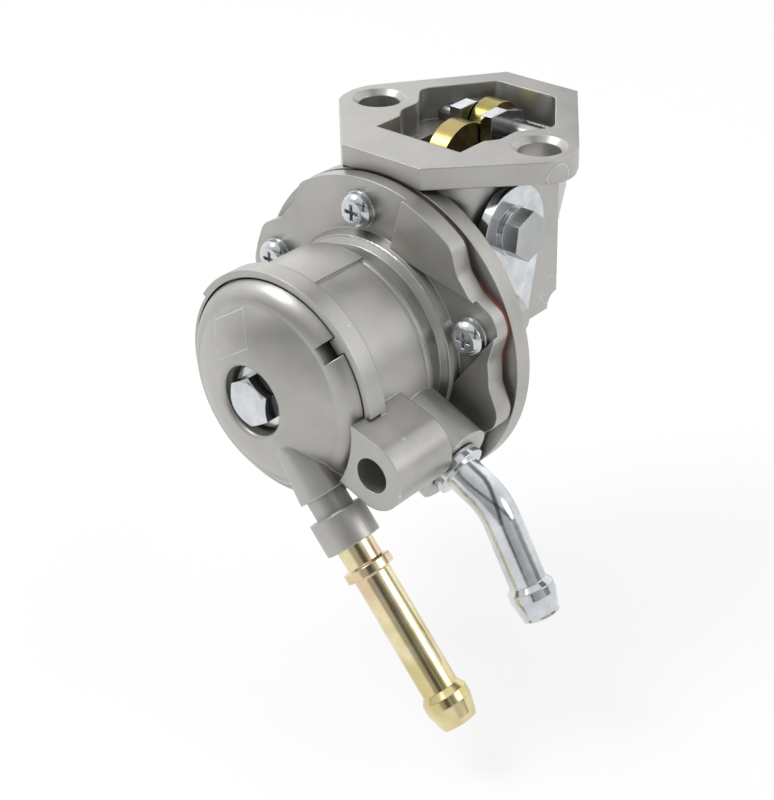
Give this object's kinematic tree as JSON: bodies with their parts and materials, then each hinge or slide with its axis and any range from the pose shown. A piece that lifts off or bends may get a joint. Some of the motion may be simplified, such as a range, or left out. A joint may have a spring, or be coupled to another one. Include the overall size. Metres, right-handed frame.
{
  "type": "diesel fuel pump",
  "caption": "Mechanical diaphragm lift pump with a bolted flange, rocker arm, hand primer, domed cover and hose stubs.",
  "frame": {"origin": "centre of the mounting face, midway between its two bolt holes", "axes": "+Z out of the mounting face towards the engine, +X along the line of the bolt holes to the hand primer's side, -Y along the pump axis to the cover"},
  "size_m": [0.0969, 0.1015, 0.1031],
  "materials": {
    "casting": "satin die cast",
    "bright_zinc": "bright zinc plate",
    "yellow_zinc": "yellow passivated zinc plate",
    "diaphragm_cloth": "matt coated cloth",
    "spring_steel": "oiled wire",
    "black_rubber": "matt",
    "valve_plastic": "matt",
    "brass": "satin",
    "gasket_fibre": "matt"
  },
  "bodies": {
    "pump": {"pump_body": "casting", "valve_body": "casting", "cover": "casting", "cover_bolt": "bright_zinc", "cover_bolt_washer": "bright_zinc", "flange_screws": "bright_zinc", "screw_washers": "bright_zinc", "inlet_tube": "yellow_zinc", "outlet_tube": "bright_zinc", "diaphragm": "diaphragm_cloth", "diaphragm_spring": "spring_steel", "rocker_spring": "spring_steel", "rocker_pin": "spring_steel", "stem_seal": "black_rubber", "seal_retainer": "spring_steel", "spindle_seal": "black_rubber", "inlet_valve_seat": "brass", "inlet_valve_spring": "spring_steel", "outlet_valve_seat": "brass", "outlet_valve_spring": "spring_steel", "strainer": "brass", "cover_gasket": "gasket_fibre"},
    "rocker": {"rocker_arm": "yellow_zinc"},
    "link": {"link_lever": "bright_zinc"},
    "stem": {"diaphragm_stem": "spring_steel", "back_plate": "spring_steel", "front_plate": "spring_steel"},
    "primer": {"primer_lever": "bright_zinc", "primer_spindle": "spring_steel", "primer_bolt": "bright_zinc", "primer_washer": "bright_zinc"},
    "inlet_disc": {"inlet_valve_disc": "valve_plastic"},
    "outlet_disc": {"outlet_valve_disc": "valve_plastic"}
  },
  "joints": [
    {"name": "rocker_pivot", "type": "hinge", "parent": "pump", "child": "rocker", "pos_m": [0, 0.0165, -0.007], "axis": [1, 0, 0], "range_deg": [0, 7], "stiffness_Nm_per_rad": 0.5, "springref_deg": -17.19, "deforming": ["rocker_spring"]},
    {"name": "link_pivot", "type": "hinge", "parent": "pump", "child": "link", "pos_m": [0, 0.0165, -0.007], "axis": [1, 0, 0], "range_deg": [0, 7]},
    {"name": "diaphragm_stroke", "type": "slide", "parent": "pump", "child": "stem", "axis": [0, 1, 0], "range_m": [0, 0.00425], "deforming": ["diaphragm", "diaphragm_spring"]},
    {"name": "primer_turn", "type": "hinge", "parent": "pump", "child": "primer", "pos_m": [0, -0.009, -0.017], "axis": [1, 0, 0], "range_deg": [0, 35]},
    {"name": "inlet_valve_lift", "type": "slide", "parent": "pump", "child": "inlet_disc", "axis": [0, 1, 0], "range_m": [0, 0.0016], "deforming": ["inlet_valve_spring"]},
    {"name": "outlet_valve_lift", "type": "slide", "parent": "pump", "child": "outlet_disc", "axis": [0, -1, 0], "range_m": [0, 0.0016], "deforming": ["outlet_valve_spring"]}
  ],
  "couplings": [
    {"joint": "link_pivot", "follows": "rocker_pivot", "ratio": 1},
    {"joint": "diaphragm_stroke", "follows": "rocker_pivot", "m_per_rad": 0.0345}
  ]
}
